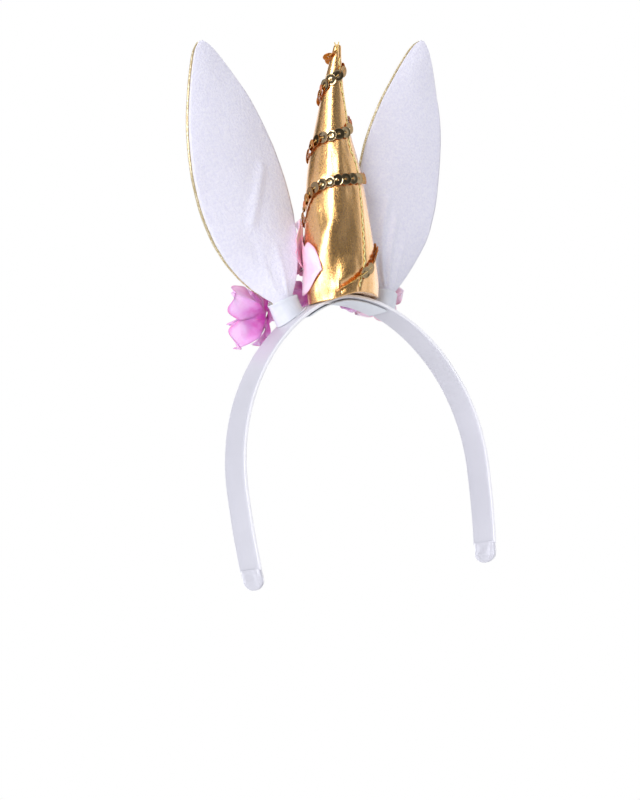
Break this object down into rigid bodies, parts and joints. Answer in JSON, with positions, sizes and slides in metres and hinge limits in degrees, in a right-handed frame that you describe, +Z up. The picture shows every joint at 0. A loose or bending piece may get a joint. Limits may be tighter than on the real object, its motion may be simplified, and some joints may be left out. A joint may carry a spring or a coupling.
{
  "type": "unicorn horn headband",
  "caption": "Satin-covered arched headband with a stuffed gold horn wound with sequins, two upright felt ears with glitter fronts, and fabric flowers at their feet.",
  "frame": {"origin": "middle of the band's inner face at the top of its arch, where it sits on a head", "axes": "+Z up through the horn, -Y the wearer's front, +X the wearer's left; the band's arch lies in the XZ plane"},
  "size_m": [0.1612, 0.0621, 0.2769],
  "materials": {
    "satin": "smooth white satin with a soft sheen",
    "ribbon": "matt white ribbon with fine ribs",
    "gold_fabric": "shiny gold foil fabric",
    "sequin": "mirror gold sequins with clear orange edges",
    "felt": "matt white felt",
    "glitter": "fine gold glitter on fabric",
    "orchid_fabric": "thin matt purple-pink petal fabric",
    "blush_fabric": "thin matt pale pink petal fabric"
  },
  "bodies": {
    "root": {"headband": "satin", "band_end_left": "satin", "band_end_right": "satin", "ribbon_lining": "ribbon", "horn": "gold_fabric", "sequin_string": "sequin", "ear_felt_left": "felt", "ear_felt_right": "felt", "ear_glitter_left": "glitter", "ear_glitter_right": "glitter", "ear_tab_left": "ribbon", "ear_tab_right": "ribbon", "flower_left_outer_outer_petals": "orchid_fabric", "flower_left_outer_inner_petals": "orchid_fabric", "flower_left_outer_centre": "orchid_fabric", "flower_left_inner_outer_petals": "blush_fabric", "flower_left_inner_inner_petals": "blush_fabric", "flower_left_inner_centre": "blush_fabric", "flower_middle_outer_petals": "orchid_fabric", "flower_middle_inner_petals": "orchid_fabric", "flower_middle_centre": "orchid_fabric", "flower_right_inner_outer_petals": "orchid_fabric", "flower_right_inner_inner_petals": "orchid_fabric", "flower_right_inner_centre": "orchid_fabric", "flower_right_outer_outer_petals": "blush_fabric", "flower_right_outer_inner_petals": "blush_fabric", "flower_right_outer_centre": "blush_fabric"}
  },
  "joints": []
}
